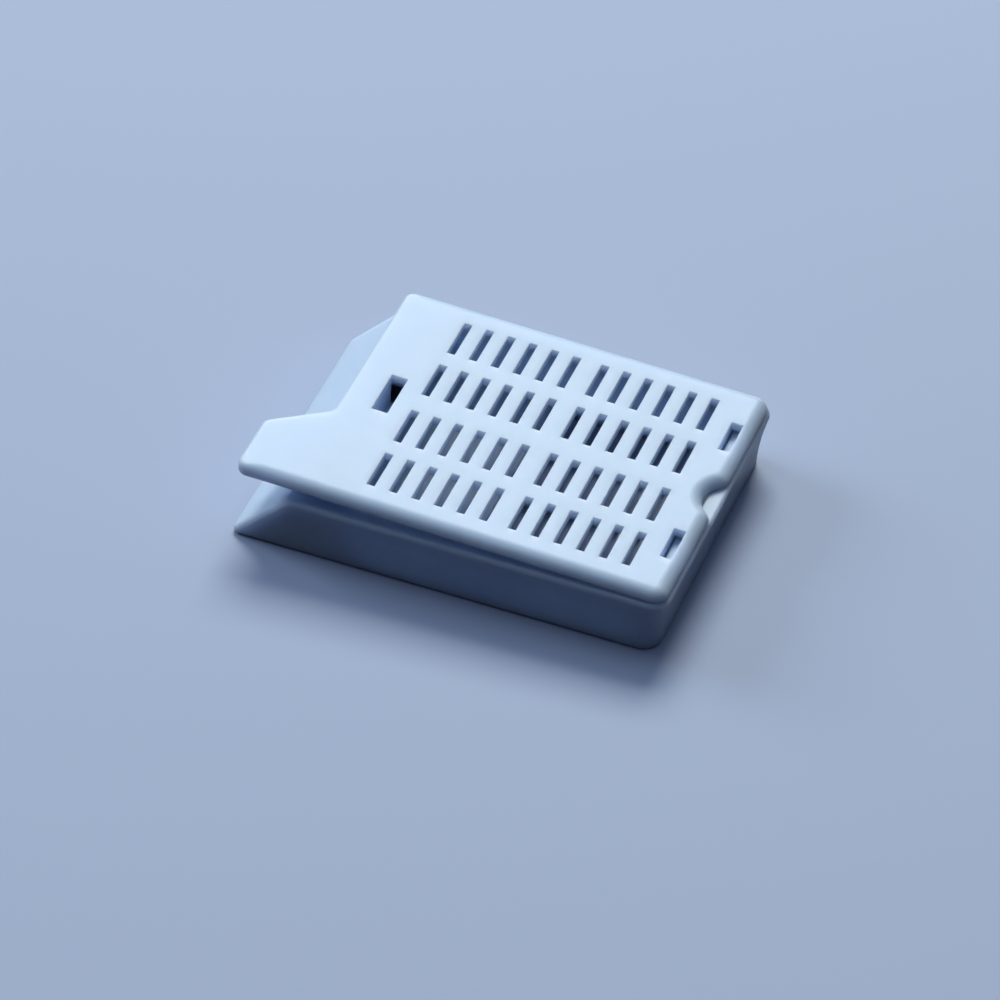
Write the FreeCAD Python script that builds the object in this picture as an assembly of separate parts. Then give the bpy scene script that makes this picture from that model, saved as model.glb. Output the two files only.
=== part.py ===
import FreeCAD, Part
import math
import os

# Tissue processing cassette: a slotted tray with a sloping writing face, and a snap lid
# that hinges on its rim.
# Millimetres. +X is the hinge end, -X the writing face, +Z up, and the tray stands on Z = 0.

# ---- Tray ----
TRAY_LENGTH = 39.5          # hinge end of the rim to the lip of the writing face
TRAY_WIDTH = 28.5           # across the rim
TRAY_HEIGHT = 5.75
RIM_WIDTH = 1.42            # level top of the walls round the specimen space
FLOOR_THICKNESS = 1.0
RIM_BAND = 0.42             # upright edge of the rim, above the curved wall
WALL_LEAN = 0.42            # foot of the long walls in from the rim
WALL_END_LEAN = 0.68        # foot of the end wall in from the rim
RIM_CORNER = 1.6            # plan radius of the rim's corners
FOOT_CORNER = 1.8           # plan radius of the corners at the foot
RIM_ROUNDING = 0.3          # along the outer top edge
FOOT_ROUNDING = 0.35        # along the bottom edge
POCKET_CORNER = 0.9         # plan radius of the specimen space
POCKET_FILLET = 0.35        # where its walls meet the floor

# ---- Writing face ----
FACE_ANGLE = 45.6           # degrees from level
FACE_LIP = 0.55             # upright lip at its foot
FACE_WALL = 1.05            # thickness of the slope and of the deck above it
FACE_ROUNDING = 0.56        # along the sides of the slope
FACE_CORNER = 0.6           # plan radius at the ends of the lip
DECK_LENGTH = 5.0           # level deck between the ridge and the specimen space
PARTITION = 1.1             # wall between the specimen space and the hollow under the deck

# ---- Lid plate ----
LID_THICKNESS = 0.9
LID_GAP = 0.22              # air between the rim and the shut lid
LID_SIDE_INSET = 0.2        # lid side back from the rim's side
LID_END_INSET = 0.17        # lid end back from the rim's end
LID_RIDGE_INSET = 0.18      # lid's free end back from the ridge
LID_ROUNDING = 1.18         # soft edge at the sides and the hinge end, which runs out at the underside
LID_FREE_ROUNDING = 0.3     # crisper top edge at the free end
LID_CORNER = 1.35           # plan radius at the hinge end
LID_FREE_CORNER = 1.35      # plan radius at the free end
LID_AJAR = 1.98             # degrees that the unlatched lid stands open

# ---- Finger tab and finger notch ----
TAB_SETBACK = 0.31          # tab end back from the lip of the writing face
TAB_END_WIDTH = 6.44        # along the tab's end
TAB_SPREAD = 3.65           # how much wider the tab is at its root
TAB_CORNER = 1.0
TAB_SIDE_CORNER = 1.1       # where the tab's end meets the lid's side
TAB_TIP_ROUNDING = 0.75     # soft edge where it reaches that corner, blended over a short run
TAB_TIP_BLEND = 1.8
TAB_ROOT_FILLET = 1.1
NOTCH_RADIUS = 2.27
NOTCH_DEPTH = 1.4           # into the lid's hinge end
NOTCH_HORN = 1.25           # plan radius where the notch opens

# ---- Slots ----
SLOT_WIDTH = 0.75
SLOT_BAR = 1.3              # between two slots of a group
SLOT_GROUP_BAR = 1.885      # between the two groups
SLOT_ROW_BAR = 1.69         # between the rows of a pair
SLOT_MIDDLE_BAR = 2.21      # between the two pairs of rows
SLOT_SIDE_MARGIN = 1.3      # outer rows in from the sides of the specimen space
SLOT_FREE_MARGIN = 1.25     # first column in from the deck
SLOT_HOOK_MARGIN = 1.15     # last column in from the hooks
FLOOR_SLOT_EXTRA = 0.15     # floor slots are this much wider
FLOOR_SLOT_STRETCH = 0.5    # and this much longer
FLOOR_SLOT_SHIFT = 0.17     # and sit this much nearer the deck

# ---- Ribs under the lid ----
RIB_HEIGHT = 0.9            # along the sides
END_RIB_HEIGHT = 2.4        # across the hinge end, where the hooks grow from it
RIB_THICKNESS = 0.7
RIB_CLEARANCE = 0.3         # to the walls of the specimen space

# ---- Hinge hooks and the ledges over them ----
HOOK_WIDTH = 3.8
HOOK_FROM_NOTCH = 2.05      # hook out from the widest part of the notch
HOOK_STEM = 0.7
HOOK_WINDOW = 1.05          # moulding window over each nose
HOOK_WINDOW_OVERLAP = 0.12  # window over the end wall
HOOK_DROP = 2.1             # plate underside to the top of the nose
HOOK_NOSE_HEIGHT = 0.75
HOOK_NOSE_LEAD = 0.37       # lower half of the nose's tip, sloped back to the stem
HOOK_HEEL = 0.35            # sloped corner behind the stem's foot
HOOK_CLEARANCE = 0.25       # nose to the end wall
LEDGE_REACH = 0.78
LEDGE_PAST_HOOK = 0.35      # ledge out past each side of its hook
LEDGE_LEAD = 0.15           # rounded upper edge that the nose slides over
LEDGE_HEEL = 0.4            # rounded lower edge that the nose swings past
LEDGE_PLAY = 0.6            # ledge to nose

# ---- Latch and its catch ----
LATCH_WIDTH = 4.85
LATCH_WINDOW = 1.5          # moulding window over the nose
LATCH_SETBACK = 0.45        # window edge out from the specimen space
LATCH_STEM = 0.75
LATCH_DROP = 2.3            # plate underside to the top of the nose
LATCH_NOSE_HEIGHT = 0.8
LATCH_NOSE_TIP = 0.27       # upright end of the nose, above its lead-in slope
LATCH_REACH = 0.45
LATCH_CLEARANCE = 0.3       # behind the latch where it passes the deck
LATCH_SIDE_ROOM = 2.2       # beside the latch where it passes the deck
CATCH_THICKNESS = 0.7
SNAP_CLEARANCE = 0.06       # nose to catch, since the snap itself needs the plastic to bend

# ---- Places worked out from the sizes above ----
END_X = TRAY_LENGTH / 2
LIP_X = -TRAY_LENGTH / 2
SIDE_Y = TRAY_WIDTH / 2
FOOT_Y = SIDE_Y - WALL_LEAN
LEAN_TOP = TRAY_HEIGHT - RIM_BAND
WALL_STATIONS = (0, LEAN_TOP / 2, LEAN_TOP)
RIDGE_X = LIP_X + (TRAY_HEIGHT - FACE_LIP) / math.tan(math.radians(FACE_ANGLE))
POCKET_END_X = END_X - RIM_WIDTH
POCKET_FREE_X = RIDGE_X + DECK_LENGTH
POCKET_SIDE_Y = SIDE_Y - RIM_WIDTH
PARTITION_X = POCKET_FREE_X - PARTITION

LID_BOTTOM = TRAY_HEIGHT + LID_GAP
LID_TOP = LID_BOTTOM + LID_THICKNESS
LID_END_X = END_X - LID_END_INSET
LID_FREE_X = RIDGE_X + LID_RIDGE_INSET
LID_SIDE_Y = SIDE_Y - LID_SIDE_INSET
TAB_X = LIP_X + TAB_SETBACK
NOTCH_X = LID_END_X - NOTCH_DEPTH + NOTCH_RADIUS

NOSE_TIP_X = POCKET_END_X - HOOK_CLEARANCE
HOOK_WINDOW_X = POCKET_END_X + HOOK_WINDOW_OVERLAP
HOOK_FACE_X = HOOK_WINDOW_X - HOOK_WINDOW
HOOK_BACK_X = HOOK_FACE_X - HOOK_STEM
HOOK_Y = NOTCH_RADIUS + LID_ROUNDING + HOOK_FROM_NOTCH + HOOK_WIDTH / 2
NOSE_TOP = LID_BOTTOM - HOOK_DROP
LEDGE_BOTTOM = NOSE_TOP + LEDGE_PLAY

LATCH_WINDOW_X = POCKET_FREE_X - LATCH_SETBACK
LATCH_FACE_X = LATCH_WINDOW_X - LATCH_WINDOW
LATCH_BACK_X = LATCH_FACE_X - LATCH_STEM
LATCH_NOSE_TOP = LID_BOTTOM - LATCH_DROP

PAST = 2.0                  # how far cutters run past what they cut
FAR = 3 * TRAY_LENGTH       # beyond every part of the tray
ROOT = 0.5                  # how far a ledge or catch runs into the wall that carries it
TINY = 0.001


def block(x0, x1, y0, y1, z0, z1):
    return Part.makeBox(x1 - x0, y1 - y0, z1 - z0, FreeCAD.Vector(x0, y0, z0))


def outline(corners, z):
    """Closed wire through (x, y, radius) corners, each rounded by a tangent arc of its own radius.
    A radius of 0 leaves its point as it is, on a straight run or at a sharp corner."""
    edges = []
    stops = []
    count = len(corners)
    for i, (x, y, radius) in enumerate(corners):
        here = FreeCAD.Vector(x, y, z)
        if radius == 0:
            stops.append((here, here, here))
            continue
        back = (FreeCAD.Vector(corners[i - 1][0], corners[i - 1][1], z) - here).normalize()
        following = corners[(i + 1) % count]
        ahead = (FreeCAD.Vector(following[0], following[1], z) - here).normalize()
        half_angle = back.getAngle(ahead) / 2
        setback = radius / math.tan(half_angle)
        inward = (back + ahead).normalize()
        centre = here + inward * (radius / math.sin(half_angle))
        stops.append((here + back * setback, centre - inward * radius, here + ahead * setback))
    for i, (start, middle, end) in enumerate(stops):
        if not start.isEqual(end, TINY):
            edges.append(Part.Arc(start, middle, end).toShape())
        edges.append(Part.LineSegment(end, stops[(i + 1) % count][0]).toShape())
    return Part.Wire(edges)


def prism(corners, z0, z1):
    return Part.Face(outline(corners, z0)).extrude(FreeCAD.Vector(0, 0, z1 - z0))


def rectangle(x0, x1, half_width, radius, free_radius):
    """Corners of a level rectangle, with one plan radius at its +X end and another at its -X end."""
    return [
        (x0, -half_width, free_radius),
        (x1, -half_width, radius),
        (x1, half_width, radius),
        (x0, half_width, free_radius),
    ]


def profile(points, half_width, middle_y=0.0):
    """Solid whose (x, z) outline runs the same all the way across."""
    start_y = middle_y - half_width
    wire = Part.makePolygon([FreeCAD.Vector(x, start_y, z) for x, z in points + points[:1]])
    return Part.Face(wire).extrude(FreeCAD.Vector(0, 2 * half_width, 0))


def edges_where(shape, test):
    """Edges on which the test holds at both ends and in the middle."""
    found = []
    for edge in shape.Edges:
        first, last = edge.ParameterRange
        if all(test(edge.valueAt(t)) for t in (first, (first + last) / 2, last)):
            found.append(edge)
    return found


def near(a, b):
    return abs(a - b) < TINY


# ---------------------------------------------------------------- slots

def lid_columns():
    """X of the lid's slots: two equal groups that fill the room between the end margins."""
    free_edge = POCKET_FREE_X + SLOT_FREE_MARGIN
    hook_edge = HOOK_BACK_X - SLOT_HOOK_MARGIN
    pitch = SLOT_WIDTH + SLOT_BAR
    group_room = (hook_edge - free_edge - SLOT_GROUP_BAR) / 2
    per_group = int((group_room + SLOT_BAR + TINY) // pitch)
    middle = (free_edge + hook_edge) / 2
    columns = []
    for side in (-1, 1):
        innermost = middle + side * (SLOT_GROUP_BAR + SLOT_WIDTH) / 2
        columns += [innermost + side * pitch * i for i in range(per_group)]
    return sorted(columns)


def floor_columns():
    """X of the floor's slots: one unbroken run at the same pitch, from under the lid's last column."""
    pitch = SLOT_WIDTH + SLOT_BAR
    lid = lid_columns()
    return [lid[-1] - FLOOR_SLOT_SHIFT - pitch * i for i in range(len(lid))]


def slot_cutters(columns, width, stretch, z0, z1):
    """Four rows of slots that share the width between the side margins."""
    room = 2 * (POCKET_SIDE_Y - SLOT_SIDE_MARGIN)
    length = (room - 2 * SLOT_ROW_BAR - SLOT_MIDDLE_BAR) / 4
    inner = (SLOT_MIDDLE_BAR + length) / 2
    outer = inner + length + SLOT_ROW_BAR
    half = (length + stretch) / 2
    cutters = []
    for y in (-outer, -inner, inner, outer):
        for x in columns:
            cutters.append(block(x - width / 2, x + width / 2, y - half, y + half, z0, z1))
    return Part.makeCompound(cutters)


# ---------------------------------------------------------------- tray

def wall_lean(height):
    """Share of the foot's lean that the wall has at a height: none under the rim, upright at the foot."""
    down = (LEAN_TOP - height) / LEAN_TOP
    return down * (2 - down)


def wall_plan(height):
    """Corners of the outer wall at a height."""
    down = (LEAN_TOP - height) / LEAN_TOP
    end = END_X - WALL_END_LEAN * wall_lean(height)
    side = SIDE_Y - WALL_LEAN * wall_lean(height)
    return rectangle(LIP_X, end, side, RIM_CORNER + (FOOT_CORNER - RIM_CORNER) * down, FACE_CORNER)


def slope_section(height, half_width):
    """Outline square to the writing face where it is this high, rounded at the face's side edges."""
    angle = math.radians(FACE_ANGLE)
    section = [
        (-half_width, -FAR, 0),
        (half_width, -FAR, 0),
        (half_width, 0, FACE_ROUNDING),
        (-half_width, 0, FACE_ROUNDING),
    ]
    wire = outline(section, (height - FACE_LIP) / math.sin(angle))
    across = FreeCAD.Vector(0, 1, 0)
    outward = FreeCAD.Vector(-math.sin(angle), 0, math.cos(angle))
    uphill = FreeCAD.Vector(math.cos(angle), 0, math.sin(angle))
    turn = FreeCAD.Rotation(across, outward, uphill, "ZYX")
    wire.Placement = FreeCAD.Placement(FreeCAD.Vector(LIP_X, 0, FACE_LIP), turn)
    return wire


def below_writing_face():
    """Everything under the plane of the writing face, as wide up the face as the walls beside it."""
    beside_walls = [slope_section(z, SIDE_Y - WALL_LEAN * wall_lean(z)) for z in WALL_STATIONS]
    above_walls = [slope_section(LEAN_TOP, SIDE_Y), slope_section(FAR, SIDE_Y + PAST)]
    return Part.makeLoft(beside_walls, True).fuse(Part.makeLoft(above_walls, True, True))


def tray_outside():
    """Curved walls and the rim's upright edge, cut off by the writing face."""
    walls = Part.makeLoft([outline(wall_plan(z), z) for z in WALL_STATIONS], True)
    under = edges_where(walls, lambda p: near(p.z, 0) and p.x > LIP_X + TINY)
    walls = walls.makeFillet(FOOT_ROUNDING, under)
    rim = prism(wall_plan(LEAN_TOP), LEAN_TOP, TRAY_HEIGHT)
    top = edges_where(rim, lambda p: near(p.z, TRAY_HEIGHT) and p.x > LIP_X + TINY)
    rim = rim.makeFillet(RIM_ROUNDING, top)
    return walls.fuse(rim).common(below_writing_face())


def specimen_space():
    """Room inside the tray, with softened corners and a fillet round its floor."""
    room = prism(
        rectangle(POCKET_FREE_X, POCKET_END_X, POCKET_SIDE_Y, POCKET_CORNER, POCKET_CORNER),
        FLOOR_THICKNESS,
        TRAY_HEIGHT + PAST,
    )
    return room.makeFillet(POCKET_FILLET, edges_where(room, lambda p: near(p.z, FLOOR_THICKNESS)))


def hollow_under_deck():
    """Open-bottomed space under the slope and the deck."""
    grade = math.tan(math.radians(FACE_ANGLE))
    slope_drop = FACE_WALL / math.cos(math.radians(FACE_ANGLE))
    under_deck = TRAY_HEIGHT - FACE_WALL
    foot_x = LIP_X + (slope_drop - FACE_LIP) / grade
    shoulder_x = foot_x + under_deck / grade
    start_x = foot_x - PAST / grade
    points = [
        (start_x, -PAST),
        (shoulder_x, under_deck),
        (PARTITION_X, under_deck),
        (PARTITION_X, -PAST),
    ]
    return profile(points, FOOT_Y - FACE_WALL)


def latch_opening():
    """Hole in the deck that the latch drops through."""
    half = LATCH_WIDTH / 2 + LATCH_SIDE_ROOM
    left = LATCH_BACK_X - LATCH_CLEARANCE
    return block(left, PARTITION_X, -half, half, TRAY_HEIGHT - FACE_WALL - TINY, TRAY_HEIGHT + PAST)


def catch():
    """Ridge on the partition that the latch's nose snaps under, sloping back to the wall above."""
    face = LATCH_FACE_X + LATCH_REACH + SNAP_CLEARANCE
    bottom = LATCH_NOSE_TOP + SNAP_CLEARANCE
    top = bottom + CATCH_THICKNESS
    inside = PARTITION_X + ROOT
    points = [
        (inside, bottom),
        (face, bottom),
        (face, top),
        (PARTITION_X, top + PARTITION_X - face),
        (inside, top + PARTITION_X - face),
    ]
    return profile(points, LATCH_WIDTH / 2)


def hook_ledges():
    """Two ledges on the end wall, level with its rim, over the noses of the lid's hooks."""
    ledges = []
    tip = POCKET_END_X - LEDGE_REACH
    half = HOOK_WIDTH / 2 + LEDGE_PAST_HOOK
    for side in (-1, 1):
        middle = side * HOOK_Y
        ledge = block(tip, POCKET_END_X + ROOT, middle - half, middle + half, LEDGE_BOTTOM, TRAY_HEIGHT)
        lead = edges_where(ledge, lambda p: near(p.x, tip) and near(p.z, TRAY_HEIGHT))
        ledge = ledge.makeFillet(LEDGE_LEAD, lead)
        heel = edges_where(ledge, lambda p: near(p.x, tip) and near(p.z, LEDGE_BOTTOM))
        ledges.append(ledge.makeFillet(LEDGE_HEEL, heel))
    return ledges


def ledge_windows():
    """Moulding windows in the floor below the ledges."""
    half = HOOK_WIDTH / 2 + LEDGE_PAST_HOOK
    top = FLOOR_THICKNESS + POCKET_FILLET + TINY
    tip = POCKET_END_X - LEDGE_REACH
    return [
        block(tip, POCKET_END_X, side * HOOK_Y - half, side * HOOK_Y + half, -PAST, top)
        for side in (-1, 1)
    ]


def make_tray():
    tray = tray_outside()
    tray = tray.cut(specimen_space())
    tray = tray.cut(hollow_under_deck())
    tray = tray.cut(latch_opening())
    tray = tray.fuse([catch()] + hook_ledges())
    tray = tray.cut(ledge_windows())
    width = SLOT_WIDTH + FLOOR_SLOT_EXTRA
    tray = tray.cut(slot_cutters(floor_columns(), width, FLOOR_SLOT_STRETCH, -PAST, FLOOR_THICKNESS + PAST))
    return tray.removeSplitter()


# ---------------------------------------------------------------- lid

def lid_blank():
    """Lid's outline with its finger tab and finger notch, sharp-edged and too deep below."""
    corners = [
        (TAB_X, -LID_SIDE_Y, TAB_SIDE_CORNER),
        (TAB_X + TAB_SIDE_CORNER + TAB_TIP_BLEND, -LID_SIDE_Y, 0),
        (LID_END_X, -LID_SIDE_Y, LID_CORNER),
        (LID_END_X, LID_SIDE_Y, LID_CORNER),
        (LID_FREE_X, LID_SIDE_Y, LID_FREE_CORNER),
        (LID_FREE_X, TAB_END_WIDTH + TAB_SPREAD - LID_SIDE_Y, TAB_ROOT_FILLET),
        (TAB_X, TAB_END_WIDTH - LID_SIDE_Y, TAB_CORNER),
    ]
    bottom = LID_TOP - LID_ROUNDING - PAST
    blank = prism(corners, bottom, LID_TOP)
    notch_base = FreeCAD.Vector(NOTCH_X, 0, bottom - PAST)
    blank = blank.cut(Part.makeCylinder(NOTCH_RADIUS, LID_ROUNDING + 3 * PAST, notch_base))
    horns = edges_where(blank, lambda p: near(p.x, LID_END_X) and abs(p.y) < NOTCH_RADIUS)
    return blank.makeFillet(NOTCH_HORN, horns)


def soften(blank):
    """Round the blank's top edges: soft at the sides and hinge end, crisp at the free end.
    The radius changes evenly along the corners between them, and first along the side of the tab's tip."""
    document = FreeCAD.newDocument("lid")
    base = document.addObject("Part::Feature", "blank")
    base.Shape = blank
    rounded = document.addObject("Part::Fillet", "rounded")
    rounded.Base = base
    radii = []
    for number, edge in enumerate(blank.Edges, start=1):
        ends = [edge.valueAt(t) for t in edge.ParameterRange]
        if not all(near(p.z, LID_TOP) for p in ends):
            continue
        radii.append((number, top_rounding(ends[0]), top_rounding(ends[1])))
    rounded.Edges = radii
    document.recompute()
    shape = rounded.Shape.copy()
    FreeCAD.closeDocument(document.Name)
    return shape


def top_rounding(point):
    """Radius of the lid's top edge at one of its outline's corner points."""
    if near(point.x, TAB_X + TAB_SIDE_CORNER):
        return TAB_TIP_ROUNDING
    if point.x > LID_FREE_X + LID_FREE_CORNER - TINY or near(point.y, -LID_SIDE_Y):
        return LID_ROUNDING
    return LID_FREE_ROUNDING


def lid_plate():
    """Softened blank, cut to the plate's thickness, so that its soft edges run out at the underside."""
    room = block(-FAR, FAR, -FAR, FAR, LID_BOTTOM, LID_TOP + PAST)
    return soften(lid_blank()).common(room)


def hook(side):
    """Stem at the edge of its window, with a nose that points to the end wall."""
    bottom = NOSE_TOP - HOOK_NOSE_HEIGHT
    points = [
        (HOOK_BACK_X, LID_BOTTOM + TINY),
        (HOOK_BACK_X, bottom + HOOK_HEEL),
        (HOOK_BACK_X + HOOK_HEEL, bottom),
        (HOOK_FACE_X, bottom),
        (NOSE_TIP_X, bottom + HOOK_NOSE_LEAD),
        (NOSE_TIP_X, NOSE_TOP),
        (HOOK_FACE_X, NOSE_TOP),
        (HOOK_FACE_X, LID_BOTTOM + TINY),
    ]
    return profile(points, HOOK_WIDTH / 2, side * HOOK_Y)


def latch():
    """Stem through the deck, with a nose that points to the specimen space."""
    bottom = LATCH_NOSE_TOP - LATCH_NOSE_HEIGHT
    tip = LATCH_FACE_X + LATCH_REACH
    points = [
        (LATCH_BACK_X, LID_BOTTOM + TINY),
        (LATCH_BACK_X, bottom),
        (LATCH_FACE_X, bottom),
        (tip, LATCH_NOSE_TOP - LATCH_NOSE_TIP),
        (tip, LATCH_NOSE_TOP),
        (LATCH_FACE_X, LATCH_NOSE_TOP),
        (LATCH_FACE_X, LID_BOTTOM + TINY),
    ]
    return profile(points, LATCH_WIDTH / 2)


def ribs():
    """Side ribs that keep the shut lid centred between the long walls, and the end rib that joins them."""
    outer = POCKET_SIDE_Y - RIB_CLEARANCE
    inner = outer - RIB_THICKNESS
    x0 = POCKET_FREE_X + RIB_CLEARANCE
    low = LID_BOTTOM - RIB_HEIGHT
    top = LID_BOTTOM + TINY
    return [
        block(x0, HOOK_FACE_X, inner, outer, low, top),
        block(x0, HOOK_FACE_X, -outer, -inner, low, top),
        block(HOOK_BACK_X, HOOK_FACE_X, -outer, outer, LID_BOTTOM - END_RIB_HEIGHT, top),
    ]


def moulding_windows():
    """Windows over the noses of the hooks and the latch."""
    z0 = LID_BOTTOM - TINY
    z1 = LID_TOP + PAST
    half = HOOK_WIDTH / 2
    windows = [block(LATCH_FACE_X, LATCH_WINDOW_X, -LATCH_WIDTH / 2, LATCH_WIDTH / 2, z0, z1)]
    for side in (-1, 1):
        windows.append(block(HOOK_FACE_X, HOOK_WINDOW_X, side * HOOK_Y - half, side * HOOK_Y + half, z0, z1))
    return windows


def make_lid():
    lid = lid_plate()
    lid = lid.fuse([latch(), hook(-1), hook(1)] + ribs())
    lid = lid.cut(moulding_windows())
    lid = lid.cut(slot_cutters(lid_columns(), SLOT_WIDTH, 0, LID_BOTTOM - PAST, LID_TOP + PAST))
    lid = lid.removeSplitter()
    # It turns about its lower hinge-end edge, just over the rim.
    lid.rotate(FreeCAD.Vector(LID_END_X, 0, LID_BOTTOM), FreeCAD.Vector(0, 1, 0), LID_AJAR)
    return lid


os.makedirs("parts", exist_ok=True)
make_tray().exportStep("parts/cassette_base.step")
make_lid().exportStep("parts/cassette_lid.step")
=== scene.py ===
import math

import bpy
import bmesh
from bpy.props import FloatProperty, FloatVectorProperty, PointerProperty
from mathutils import Matrix, Vector


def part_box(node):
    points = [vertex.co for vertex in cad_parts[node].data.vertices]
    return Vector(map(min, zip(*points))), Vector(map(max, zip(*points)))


bl_info = {
    "name": "Tissue Cassette Finish",
    "version": (1, 0, 0),
    "blender": (4, 5, 0),
    "location": "3D View > Sidebar > Cassette",
    "description": "Moulded plastic finish, studio and camera for a slotted tissue cassette",
    "category": "Object",
}

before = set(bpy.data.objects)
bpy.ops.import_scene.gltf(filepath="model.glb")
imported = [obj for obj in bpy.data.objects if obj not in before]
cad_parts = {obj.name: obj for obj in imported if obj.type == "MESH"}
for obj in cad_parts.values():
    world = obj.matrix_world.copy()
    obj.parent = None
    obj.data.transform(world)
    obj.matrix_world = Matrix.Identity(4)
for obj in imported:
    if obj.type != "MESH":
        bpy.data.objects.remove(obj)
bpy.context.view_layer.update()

MM = 0.001
TRAY_LOW, TRAY_HIGH = (Vector(corner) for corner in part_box("cassette_base"))

# light inside the plastic: how far red, green and blue travel, each times the scatter depth
SCATTER_REACH = (1.4, 1.2, 1.3)
PLASTIC_IOR = 1.48
EDGE_SAMPLES = 6

# spark-eroded grain: fine pits laid over coarse ones, which also break up the gloss
COARSE_PIT_WIDTH = 6.0  # in fine pits
FINE_SHARE = 0.65
COARSE_SHARE = 0.35
COARSE_NOISE_RANGE = (0.3, 0.7)
GLOSS_BREAK_RANGE = (-0.02, 0.025)

# slow drifts of tone, stretched along the plastic's flow, with small clouds over them
FLOW_STRETCH = (1.0, 2.2, 1.0)
DRIFTS_PER_METRE = 130.0
CLOUDS_PER_METRE = 700.0
DRIFT_SHARE = 0.7
CLOUD_SHARE = 0.3
TONE_NOISE_RANGE = (0.35, 0.65)
TRAY_DRIFT = 0.03
LID_DRIFT = 0.02
DARK_TONE_GLOSS = 0.03  # roughness that the darkest tone loses

# sloping writing face: the height of its foot at the tray's low end, and the angle that it climbs at
FACE_FOOT = Vector((TRAY_LOW.x, 0.0, 0.55 * MM))
FACE_ANGLE = math.radians(45.6)
FACE_WHOLE_WITHIN = 0.02 * MM  # nearer its plane than this, the matt finish is whole
FACE_GONE_BEYOND = 0.12 * MM  # further off than this, there is none

# softboxes: where they all look, then the place in metres, the width and depth, and the colour of each
LAMP_TARGET = Vector((0.0, 0.0, TRAY_HIGH.z / 3))
KEY_PLACE = (-0.18, 0.61, 0.7)
KEY_SIZE = (0.46, 0.4)
KEY_COLOUR = (0.9, 0.96, 1.0)
SIDE_PLACE = (-0.8, 0.12, 0.42)
SIDE_SIZE = (0.4, 0.4)
SIDE_COLOUR = (0.62, 0.76, 1.0)
TOP_PLACE = (0.0, 0.05, 0.9)
TOP_SIZE = (0.8, 0.8)
TOP_COLOUR = (0.5, 0.64, 1.0)
AIR_COLOUR = (0.54, 0.65, 1.0)  # faint light from all round

FLOOR_RADIUS = 3.0
FLOOR_SIDES = 96
FLOOR_ROUGHNESS = 0.6
FLOOR_SPECULAR = 0.2

# camera: it looks at a point inside the cassette, shifted by these millimetres in its own picture
CAMERA_TARGET = Vector((-0.25, -0.25, 2.0)) * MM
TARGET_SHIFT_RIGHT = 0.070
TARGET_SHIFT_DOWN = 1.86
SENSOR_WIDTH = 36.0
CLIP_START = 0.01
CLIP_END = 20.0


# ---------------------------------------------------------------- settings

class CassettePlasticSettings(bpy.types.PropertyGroup):
    """Colour and surface of the moulded plastic."""

    colour: FloatVectorProperty(
        name="Plastic colour",
        description="Colour of the clean moulding",
        subtype="COLOR",
        size=3,
        min=0.0,
        max=1.0,
        default=(0.62, 0.76, 0.98),
    )
    roughness: FloatProperty(
        name="Roughness",
        description="Satin gloss of the tool's spark-eroded surface",
        subtype="FACTOR",
        min=0.0,
        max=1.0,
        default=0.44,
    )
    grain_size: FloatProperty(
        name="Grain size",
        description="Width of one pit of the spark-eroded grain",
        subtype="DISTANCE",
        unit="LENGTH",
        default=0.09 * MM,
    )
    grain_depth: FloatProperty(
        name="Grain depth",
        description="Depth of the grain's pits",
        subtype="DISTANCE",
        unit="LENGTH",
        default=0.004 * MM,
    )
    face_roughness: FloatProperty(
        name="Writing face roughness",
        description="How much duller the writing face is, so that a pencil marks it",
        subtype="FACTOR",
        min=0.0,
        max=0.5,
        default=0.14,
    )
    face_grain_depth: FloatProperty(
        name="Writing face grain",
        description="Depth of the grain's pits on the writing face",
        subtype="DISTANCE",
        unit="LENGTH",
        default=0.012 * MM,
    )
    edge_radius: FloatProperty(
        name="Edge radius",
        description="Radius left by the tool along every corner that looks sharp",
        subtype="DISTANCE",
        unit="LENGTH",
        default=0.06 * MM,
    )
    scatter_depth: FloatProperty(
        name="Scatter depth",
        description="How far light travels inside the plastic",
        subtype="DISTANCE",
        unit="LENGTH",
        default=1.5 * MM,
    )
    scatter_share: FloatProperty(
        name="Scatter share",
        description="How much of the plastic's colour comes from light inside it",
        subtype="FACTOR",
        min=0.0,
        max=1.0,
        default=1.0,
    )


class CassetteStudioSettings(bpy.types.PropertyGroup):
    """Floor, lamps and camera."""

    floor_colour: FloatVectorProperty(
        name="Floor colour",
        description="Plain pale floor",
        subtype="COLOR",
        size=3,
        min=0.0,
        max=1.0,
        default=(0.48, 0.54, 0.64),
    )
    floor_bounce: FloatVectorProperty(
        name="Floor bounce",
        description="Colour of the floor as it lights the cassette, darker than the floor looks",
        subtype="COLOR",
        size=3,
        min=0.0,
        max=1.0,
        default=(0.05, 0.06, 0.1),
    )
    camera_azimuth: FloatProperty(
        name="Camera azimuth",
        description="Camera's turn round the cassette from square-on to its front",
        subtype="ANGLE",
        default=math.radians(19.272),
    )
    camera_elevation: FloatProperty(
        name="Camera elevation",
        description="Camera's height above the floor, as an angle",
        subtype="ANGLE",
        default=math.radians(42.0),
    )
    camera_roll: FloatProperty(
        name="Camera roll",
        description="Camera's tilt about its own axis",
        subtype="ANGLE",
        default=math.radians(2.621),
    )
    camera_distance: FloatProperty(
        name="Camera distance",
        description="Camera to the middle of the cassette",
        subtype="DISTANCE",
        unit="LENGTH",
        default=468.9 * MM,
    )
    lens: FloatProperty(
        name="Lens",
        description="Focal length on a 36 mm sensor",
        default=194.5,
    )
    key_power: FloatProperty(
        name="Key power",
        description="Power of the softbox behind the cassette, in watts",
        default=6.9,
    )
    side_power: FloatProperty(
        name="Side power",
        description="Power of the softbox beside the writing face, in watts",
        default=3.4,
    )
    top_power: FloatProperty(
        name="Top power",
        description="Power of the softbox overhead, in watts",
        default=1.7,
    )
    fill_level: FloatProperty(
        name="Fill level",
        description="Strength of the light from all round",
        default=0.05,
    )


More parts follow.
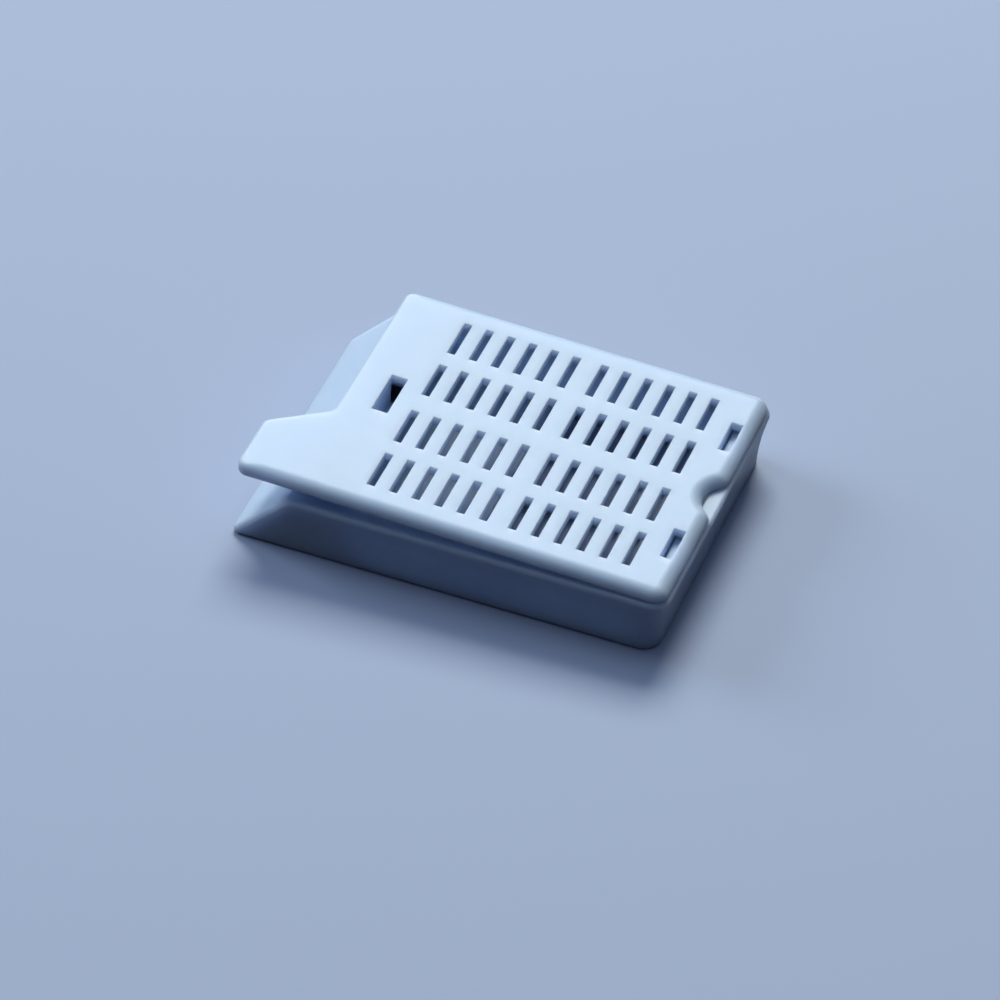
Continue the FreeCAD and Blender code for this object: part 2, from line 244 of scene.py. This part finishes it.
# ---------------------------------------------------------------- node helpers

def new_group(name, inputs, outputs):
    """Empty shader node group with named sockets; inputs are (name, kind, default)."""
    group = bpy.data.node_groups.new(name, "ShaderNodeTree")
    for label, kind, value in inputs:
        socket = group.interface.new_socket(label, in_out="INPUT", socket_type=kind)
        socket.default_value = value
    for label, kind in outputs:
        group.interface.new_socket(label, in_out="OUTPUT", socket_type=kind)
    return group


def add(tree, kind, **values):
    """New node of this kind, with its own values set."""
    node = tree.nodes.new(kind)
    for key, value in values.items():
        setattr(node, key, value)
    return node


def maths(tree, operation, first, second):
    """Math node with two operands, each a socket or a number."""
    node = add(tree, "ShaderNodeMath", operation=operation)
    for socket, operand in zip(node.inputs, (first, second)):
        if isinstance(operand, (int, float)):
            socket.default_value = operand
        else:
            tree.links.new(operand, socket)
    return node.outputs[0]


def mix(tree, first, first_share, second, second_share):
    """Sum of two sockets, each times its share."""
    first_part = maths(tree, "MULTIPLY", first, first_share)
    second_part = maths(tree, "MULTIPLY", second, second_share)
    return maths(tree, "ADD", first_part, second_part)


def noise(tree, coordinates, scale, detail, roughness):
    """Noise node; scale is a socket or a number of features to the metre."""
    node = add(tree, "ShaderNodeTexNoise", noise_dimensions="3D")
    node.inputs["Detail"].default_value = detail
    node.inputs["Roughness"].default_value = roughness
    tree.links.new(coordinates, node.inputs["Vector"])
    if isinstance(scale, (int, float)):
        node.inputs["Scale"].default_value = scale
    else:
        tree.links.new(scale, node.inputs["Scale"])
    return node.outputs["Fac"]


def spread(tree, value, low, high, to_low, to_high):
    """Map Range node with clamped ends."""
    node = add(tree, "ShaderNodeMapRange", clamp=True)
    tree.links.new(value, node.inputs["Value"])
    node.inputs["From Min"].default_value = low
    node.inputs["From Max"].default_value = high
    node.inputs["To Min"].default_value = to_low
    node.inputs["To Max"].default_value = to_high
    return node.outputs["Result"]


def shared(name, build):
    """The named node group, built the first time that it is asked for."""
    return bpy.data.node_groups.get(name) or build()


def place_group(tree, group, values):
    """Node that holds a shared group, with this material's own values."""
    node = add(tree, "ShaderNodeGroup", node_tree=group)
    for label, value in values.items():
        node.inputs[label].default_value = value
    return node


# ---------------------------------------------------------------- shared effects

def grain_group():
    """Fine pits of a spark-eroded mould, as a height in metres, and the gloss that they break up."""
    group = new_group(
        "mould_grain",
        [
            ("Vector", "NodeSocketVector", (0.0, 0.0, 0.0)),
            ("Pit width", "NodeSocketFloat", 0.1 * MM),
            ("Depth", "NodeSocketFloat", 0.004 * MM),
        ],
        [("Height", "NodeSocketFloat"), ("Gloss break", "NodeSocketFloat")],
    )
    source = add(group, "NodeGroupInput")
    result = add(group, "NodeGroupOutput")
    place = source.outputs["Vector"]
    per_metre = maths(group, "DIVIDE", 1.0, source.outputs["Pit width"])
    coarse_per_metre = maths(group, "DIVIDE", per_metre, COARSE_PIT_WIDTH)
    fine = noise(group, place, per_metre, detail=2.0, roughness=0.6)
    coarse = noise(group, place, coarse_per_metre, detail=2.0, roughness=0.5)
    mixed = mix(group, fine, FINE_SHARE, coarse, COARSE_SHARE)
    height = maths(group, "MULTIPLY", mixed, source.outputs["Depth"])
    gloss_break = spread(group, coarse, *COARSE_NOISE_RANGE, *GLOSS_BREAK_RANGE)
    group.links.new(height, result.inputs["Height"])
    group.links.new(gloss_break, result.inputs["Gloss break"])
    return group


def flow_group():
    """Slow drifts of tone left by the plastic's flow, with small clouds over them."""
    group = new_group(
        "flow_tone",
        [
            ("Vector", "NodeSocketVector", (0.0, 0.0, 0.0)),
            ("Colour", "NodeSocketColor", (0.6, 0.8, 0.95, 1.0)),
            ("Drift", "NodeSocketFloat", 0.04),
        ],
        [("Colour", "NodeSocketColor"), ("Mask", "NodeSocketFloat")],
    )
    source = add(group, "NodeGroupInput")
    result = add(group, "NodeGroupOutput")
    place = source.outputs["Vector"]
    stretch = add(group, "ShaderNodeMapping", vector_type="POINT")
    stretch.inputs["Scale"].default_value = FLOW_STRETCH
    group.links.new(place, stretch.inputs["Vector"])
    broad = noise(group, stretch.outputs["Vector"], DRIFTS_PER_METRE, detail=3.0, roughness=0.55)
    cloudy = noise(group, place, CLOUDS_PER_METRE, detail=3.0, roughness=0.6)
    mixed = mix(group, broad, DRIFT_SHARE, cloudy, CLOUD_SHARE)
    mask = spread(group, mixed, *TONE_NOISE_RANGE, 0.0, 1.0)
    darker = maths(group, "SUBTRACT", 1.0, maths(group, "MULTIPLY", mask, source.outputs["Drift"]))
    tone = add(group, "ShaderNodeVectorMath", operation="SCALE")
    group.links.new(source.outputs["Colour"], tone.inputs[0])
    group.links.new(darker, tone.inputs["Scale"])
    group.links.new(tone.outputs["Vector"], result.inputs["Colour"])
    group.links.new(mask, result.inputs["Mask"])
    return group


# ---------------------------------------------------------------- materials

def writing_face_mask(tree, place):
    """1 on the sloping writing face and 0 elsewhere, by the distance to its plane."""
    upright = Vector((-math.sin(FACE_ANGLE), 0.0, math.cos(FACE_ANGLE)))
    along = add(tree, "ShaderNodeVectorMath", operation="DOT_PRODUCT")
    tree.links.new(place, along.inputs[0])
    along.inputs[1].default_value = upright
    off_plane = maths(tree, "SUBTRACT", along.outputs["Value"], FACE_FOOT.dot(upright))
    distance = maths(tree, "ABSOLUTE", off_plane, 0.0)
    return spread(tree, distance, FACE_WHOLE_WITHIN, FACE_GONE_BEYOND, 1.0, 0.0)


def moulded_plastic(name, settings, drift, has_writing_face=False):
    """Satin plastic with drifting tone, spark-eroded grain, softened edges and light inside it."""
    material = bpy.data.materials.new(name)
    material.use_nodes = True
    tree = material.node_tree
    tree.nodes.clear()
    place = add(tree, "ShaderNodeTexCoord").outputs["Object"]
    tone = place_group(
        tree,
        shared("flow_tone", flow_group),
        {"Colour": (*settings.colour, 1.0), "Drift": drift},
    )
    grain = place_group(
        tree,
        shared("mould_grain", grain_group),
        {"Pit width": settings.grain_size, "Depth": settings.grain_depth},
    )
    tree.links.new(place, tone.inputs["Vector"])
    tree.links.new(place, grain.inputs["Vector"])
    gloss = maths(tree, "ADD", grain.outputs["Gloss break"], settings.roughness)
    shine = maths(tree, "MULTIPLY", tone.outputs["Mask"], DARK_TONE_GLOSS)
    roughness = maths(tree, "SUBTRACT", gloss, shine)
    if has_writing_face:
        matt = writing_face_mask(tree, place)
        depth = spread(tree, matt, 0.0, 1.0, settings.grain_depth, settings.face_grain_depth)
        tree.links.new(depth, grain.inputs["Depth"])
        dullness = maths(tree, "MULTIPLY", matt, settings.face_roughness)
        roughness = maths(tree, "ADD", roughness, dullness)

    edges = add(tree, "ShaderNodeBevel", samples=EDGE_SAMPLES)
    edges.inputs["Radius"].default_value = settings.edge_radius
    bump = add(tree, "ShaderNodeBump")
    bump.inputs["Strength"].default_value = 1.0
    bump.inputs["Distance"].default_value = 1.0
    tree.links.new(grain.outputs["Height"], bump.inputs["Height"])
    tree.links.new(edges.outputs["Normal"], bump.inputs["Normal"])

    shader = add(tree, "ShaderNodeBsdfPrincipled")
    shader.subsurface_method = "RANDOM_WALK"
    shader.inputs["IOR"].default_value = PLASTIC_IOR
    shader.inputs["Subsurface Weight"].default_value = settings.scatter_share
    shader.inputs["Subsurface Radius"].default_value = SCATTER_REACH
    shader.inputs["Subsurface Scale"].default_value = settings.scatter_depth
    tree.links.new(tone.outputs["Colour"], shader.inputs["Base Color"])
    tree.links.new(roughness, shader.inputs["Roughness"])
    tree.links.new(bump.outputs["Normal"], shader.inputs["Normal"])
    output = add(tree, "ShaderNodeOutputMaterial")
    tree.links.new(shader.outputs["BSDF"], output.inputs["Surface"])
    return material


def floor_paint(studio):
    """Plain matt paint that looks pale, and throws less light back at the cassette."""
    material = bpy.data.materials.new("floor_paint")
    material.use_nodes = True
    tree = material.node_tree
    shader = tree.nodes["Principled BSDF"]
    shader.inputs["Roughness"].default_value = FLOOR_ROUGHNESS
    shader.inputs["Specular IOR Level"].default_value = FLOOR_SPECULAR
    rays = add(tree, "ShaderNodeLightPath")
    seen = maths(tree, "MAXIMUM", rays.outputs["Is Camera Ray"], rays.outputs["Is Glossy Ray"])
    seen = maths(tree, "MAXIMUM", seen, rays.outputs["Is Transmission Ray"])
    colour = add(tree, "ShaderNodeMix", data_type="RGBA")
    colour.inputs["A"].default_value = (*studio.floor_bounce, 1.0)
    colour.inputs["B"].default_value = (*studio.floor_colour, 1.0)
    tree.links.new(seen, colour.inputs["Factor"])
    tree.links.new(colour.outputs["Result"], shader.inputs["Base Color"])
    return material


def dress(node_name, material):
    """Give a CAD moulding its finish."""
    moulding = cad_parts[node_name]
    moulding.data.materials.clear()
    moulding.data.materials.append(material)
    return moulding


# ---------------------------------------------------------------- stage

def lay_floor(studio):
    """Round floor that the cassette stands on."""
    shape = bmesh.new()
    bmesh.ops.create_circle(shape, cap_ends=True, segments=FLOOR_SIDES, radius=FLOOR_RADIUS)
    mesh = bpy.data.meshes.new("floor")
    shape.to_mesh(mesh)
    shape.free()
    floor = bpy.data.objects.new("floor", mesh)
    floor.data.materials.append(floor_paint(studio))
    bpy.context.scene.collection.objects.link(floor)


def aim(location, target):
    """Matrix of something at location that looks at target."""
    place = Vector(location)
    turn = (Vector(target) - place).to_track_quat("-Z", "Y")
    return Matrix.Translation(place) @ turn.to_matrix().to_4x4()


def softbox(name, location, size, power, colour):
    """Rectangular area lamp that looks at the cassette."""
    lamp = bpy.data.lights.new(name, "AREA")
    lamp.shape = "RECTANGLE"
    width, depth = size
    lamp.size = width
    lamp.size_y = depth
    lamp.energy = power
    lamp.color = colour
    box = bpy.data.objects.new(name, lamp)
    box.matrix_world = aim(location, LAMP_TARGET)
    bpy.context.scene.collection.objects.link(box)
    return box


def hang_lamps(studio):
    """Three softboxes, and a faint light from all round."""
    softbox("key_softbox", KEY_PLACE, KEY_SIZE, studio.key_power, KEY_COLOUR)
    softbox("side_softbox", SIDE_PLACE, SIDE_SIZE, studio.side_power, SIDE_COLOUR)
    softbox("top_softbox", TOP_PLACE, TOP_SIZE, studio.top_power, TOP_COLOUR)
    world = bpy.data.worlds.new("studio_air")
    world.use_nodes = True
    background = world.node_tree.nodes["Background"]
    background.inputs["Color"].default_value = (*AIR_COLOUR, 1.0)
    background.inputs["Strength"].default_value = studio.fill_level
    bpy.context.scene.world = world


def place_camera(studio):
    """Camera over the near long side, turned and rolled by its settings."""
    azimuth = studio.camera_azimuth
    elevation = studio.camera_elevation
    roll = studio.camera_roll
    back = Vector((
        math.sin(azimuth) * math.cos(elevation),
        -math.cos(azimuth) * math.cos(elevation),
        math.sin(elevation),
    ))
    right = Vector((math.cos(azimuth), math.sin(azimuth), 0.0))
    up = back.cross(right)
    target = CAMERA_TARGET + right * TARGET_SHIFT_RIGHT * MM - up * TARGET_SHIFT_DOWN * MM
    across = right * math.cos(roll) + up * math.sin(roll)
    upward = up * math.cos(roll) - right * math.sin(roll)
    lens = bpy.data.cameras.new("camera")
    lens.sensor_width = SENSOR_WIDTH
    lens.lens = studio.lens
    lens.clip_start = CLIP_START
    lens.clip_end = CLIP_END
    camera = bpy.data.objects.new("camera", lens)
    turn = Matrix((across, upward, back)).transposed().to_4x4()
    camera.matrix_world = Matrix.Translation(target + back * studio.camera_distance) @ turn
    bpy.context.scene.collection.objects.link(camera)
    bpy.context.scene.camera = camera


# ---------------------------------------------------------------- operators

class CASSETTE_OT_finish_tray(bpy.types.Operator):
    """Give the tray its moulded plastic"""

    bl_idname = "cassette.finish_tray"
    bl_label = "Finish Tray"

    def execute(self, context):
        settings = context.scene.cassette_plastic
        dress("cassette_base", moulded_plastic("tray_plastic", settings, TRAY_DRIFT, has_writing_face=True))
        return {"FINISHED"}


class CASSETTE_OT_finish_lid(bpy.types.Operator):
    """Give the lid its moulded plastic"""

    bl_idname = "cassette.finish_lid"
    bl_label = "Finish Lid"

    def execute(self, context):
        settings = context.scene.cassette_plastic
        dress("cassette_lid", moulded_plastic("lid_plastic", settings, LID_DRIFT))
        return {"FINISHED"}


class CASSETTE_OT_build_stage(bpy.types.Operator):
    """Lay the floor, hang the lamps and place the camera"""

    bl_idname = "cassette.build_stage"
    bl_label = "Build Stage"

    def execute(self, context):
        studio = context.scene.cassette_studio
        lay_floor(studio)
        hang_lamps(studio)
        place_camera(studio)
        context.scene.view_settings.view_transform = "Standard"
        return {"FINISHED"}


class CASSETTE_PT_sidebar(bpy.types.Panel):
    """Settings and steps of the cassette's finish"""

    bl_idname = "CASSETTE_PT_sidebar"
    bl_label = "Tissue Cassette"
    bl_space_type = "VIEW_3D"
    bl_region_type = "UI"
    bl_category = "Cassette"

    def draw(self, context):
        layout = self.layout
        for settings in (context.scene.cassette_plastic, context.scene.cassette_studio):
            box = layout.box()
            for key in settings.__annotations__:
                box.prop(settings, key)
        for step in STEPS:
            layout.operator(step.bl_idname)


STEPS = (CASSETTE_OT_finish_tray, CASSETTE_OT_finish_lid, CASSETTE_OT_build_stage)
CLASSES = (CassettePlasticSettings, CassetteStudioSettings, *STEPS, CASSETTE_PT_sidebar)


def register():
    """Register the classes, and hang both groups of settings on the scene."""
    for kind in CLASSES:
        bpy.utils.register_class(kind)
    bpy.types.Scene.cassette_plastic = PointerProperty(type=CassettePlasticSettings)
    bpy.types.Scene.cassette_studio = PointerProperty(type=CassetteStudioSettings)


def unregister():
    """Take back all that register added."""
    del bpy.types.Scene.cassette_studio
    del bpy.types.Scene.cassette_plastic
    for kind in reversed(CLASSES):
        bpy.utils.unregister_class(kind)


def main():
    """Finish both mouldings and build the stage."""
    register()
    bpy.ops.cassette.finish_tray()
    bpy.ops.cassette.finish_lid()
    bpy.ops.cassette.build_stage()


if __name__ == "__main__":
    main()
